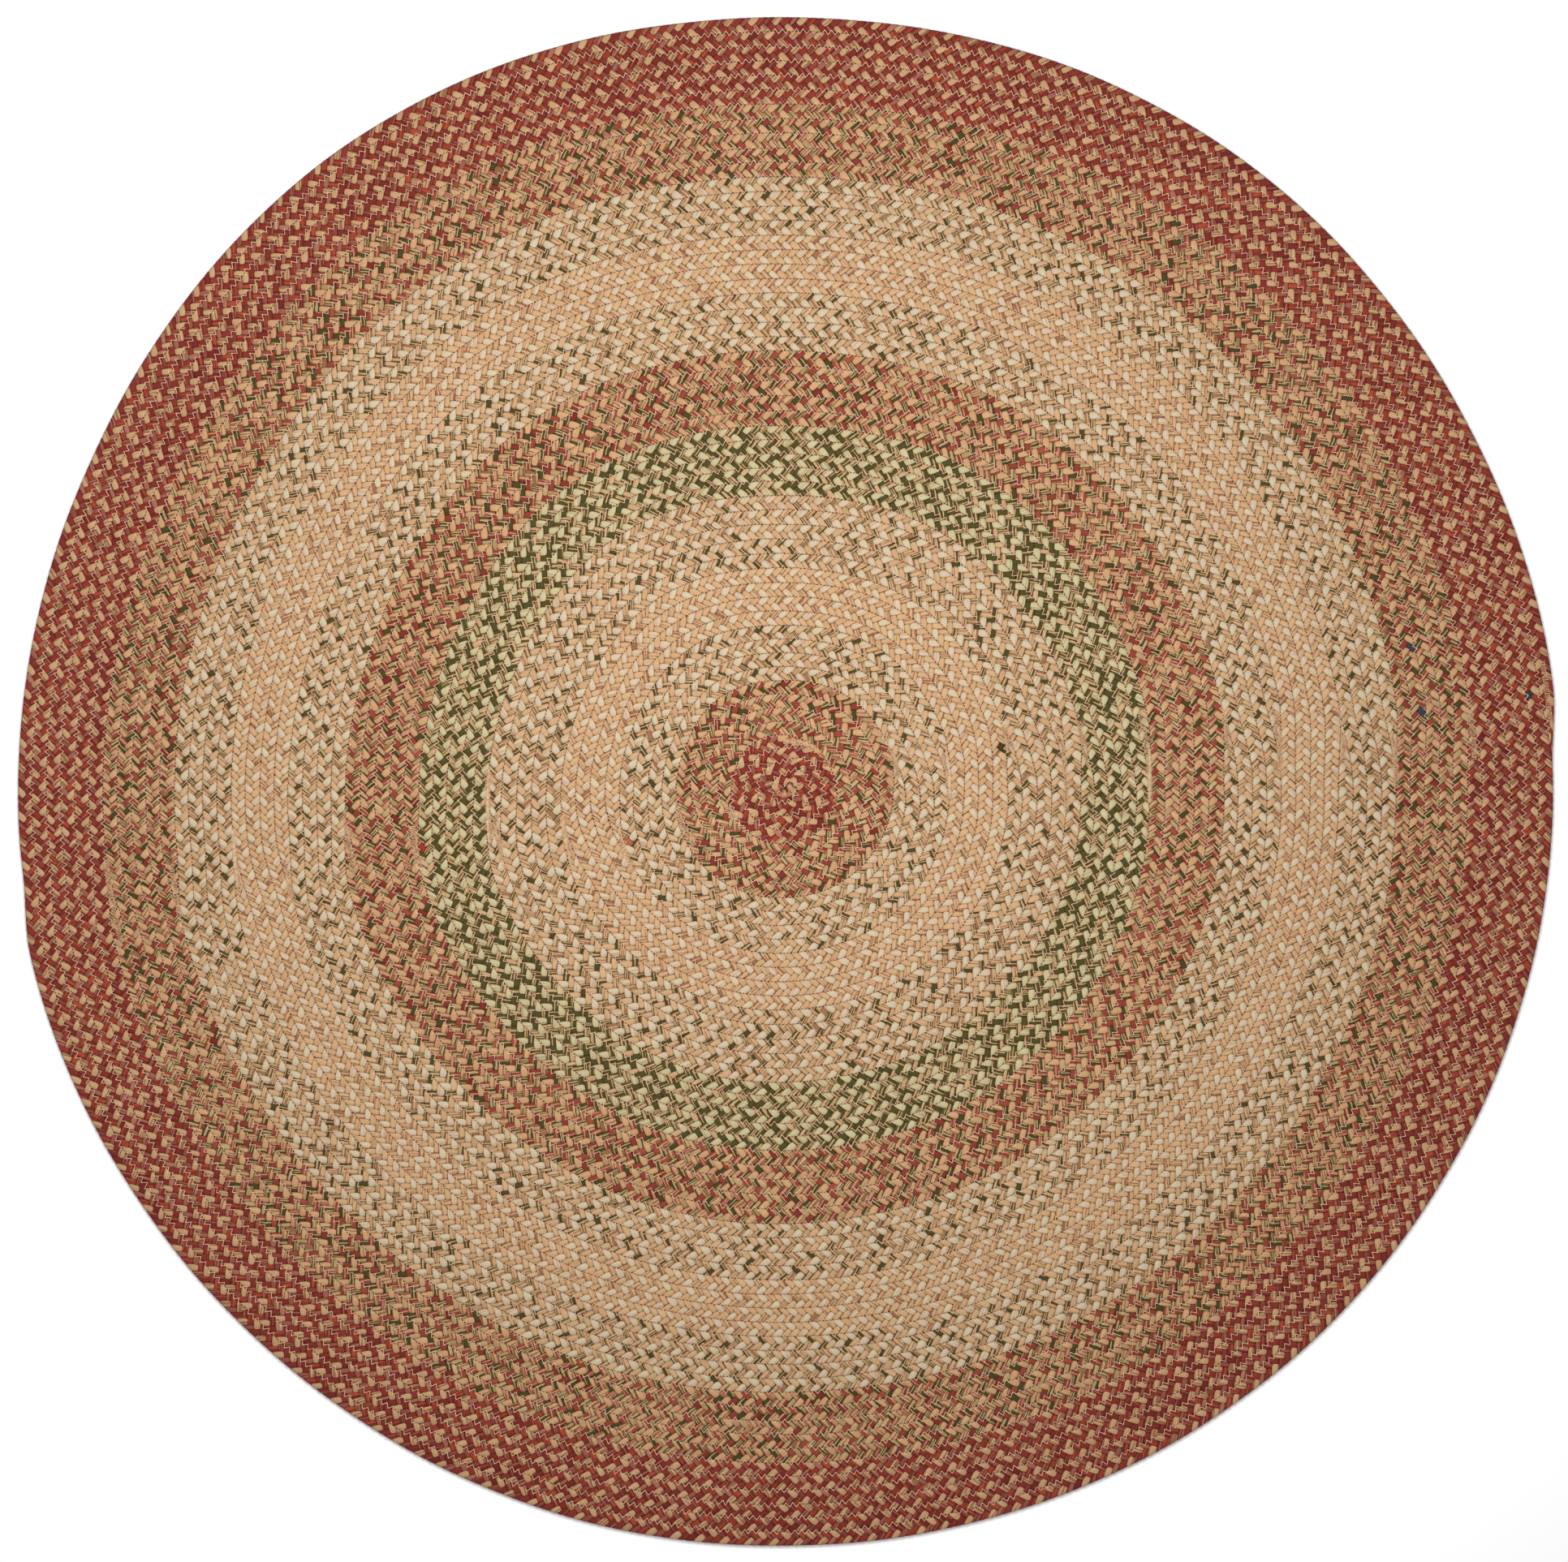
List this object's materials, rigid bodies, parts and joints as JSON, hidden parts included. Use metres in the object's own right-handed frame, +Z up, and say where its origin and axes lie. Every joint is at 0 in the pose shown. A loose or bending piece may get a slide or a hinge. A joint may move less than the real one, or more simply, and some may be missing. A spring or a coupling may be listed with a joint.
{
  "type": "round braided rug",
  "caption": "Round braided rug: lengths of flat three-strand braid in red, tan, beige, green and mixed colours, wound in a flat spiral and sewn edge to edge.",
  "frame": {"origin": "centre of the rug's outline, on the floor under it", "axes": "+Z up, from the floor to the face of the rug; +X to the side where the braid's outer end is tucked in; +Y across the rug"},
  "size_m": [1.8266, 1.8184, 0.009],
  "materials": {
    "red_braid": "matte braided yarn: red, wine and pink-grey strands with a tan strand",
    "mixed_braid": "matte braided yarn: tan strand, red and pink marl strand, olive and cream marl strand",
    "beige_braid": "matte braided yarn: pale cream strand, peach-tan strand, olive and tan streaked strand",
    "tan_braid": "matte braided yarn: pale cream strand with peach-tan strands",
    "green_braid": "matte braided yarn: pale green-cream strand, peach strand, dark olive strand",
    "seam_thread": "matte pale peach zigzag sewing thread over every seam"
  },
  "bodies": {
    "root": {"braid_01_red_centre": "red_braid", "braid_02_mixed_inner": "mixed_braid", "braid_03_beige_inner": "beige_braid", "braid_04_tan_inner": "tan_braid", "braid_05_beige_second": "beige_braid", "braid_06_beige_single_turn": "beige_braid", "braid_07_green": "green_braid", "braid_08_mixed_middle": "mixed_braid", "braid_09_beige_third": "beige_braid", "braid_10_tan_outer": "tan_braid", "braid_11_beige_outer": "beige_braid", "braid_12_mixed_outer": "mixed_braid", "braid_13_red_border": "red_braid"}
  },
  "joints": []
}
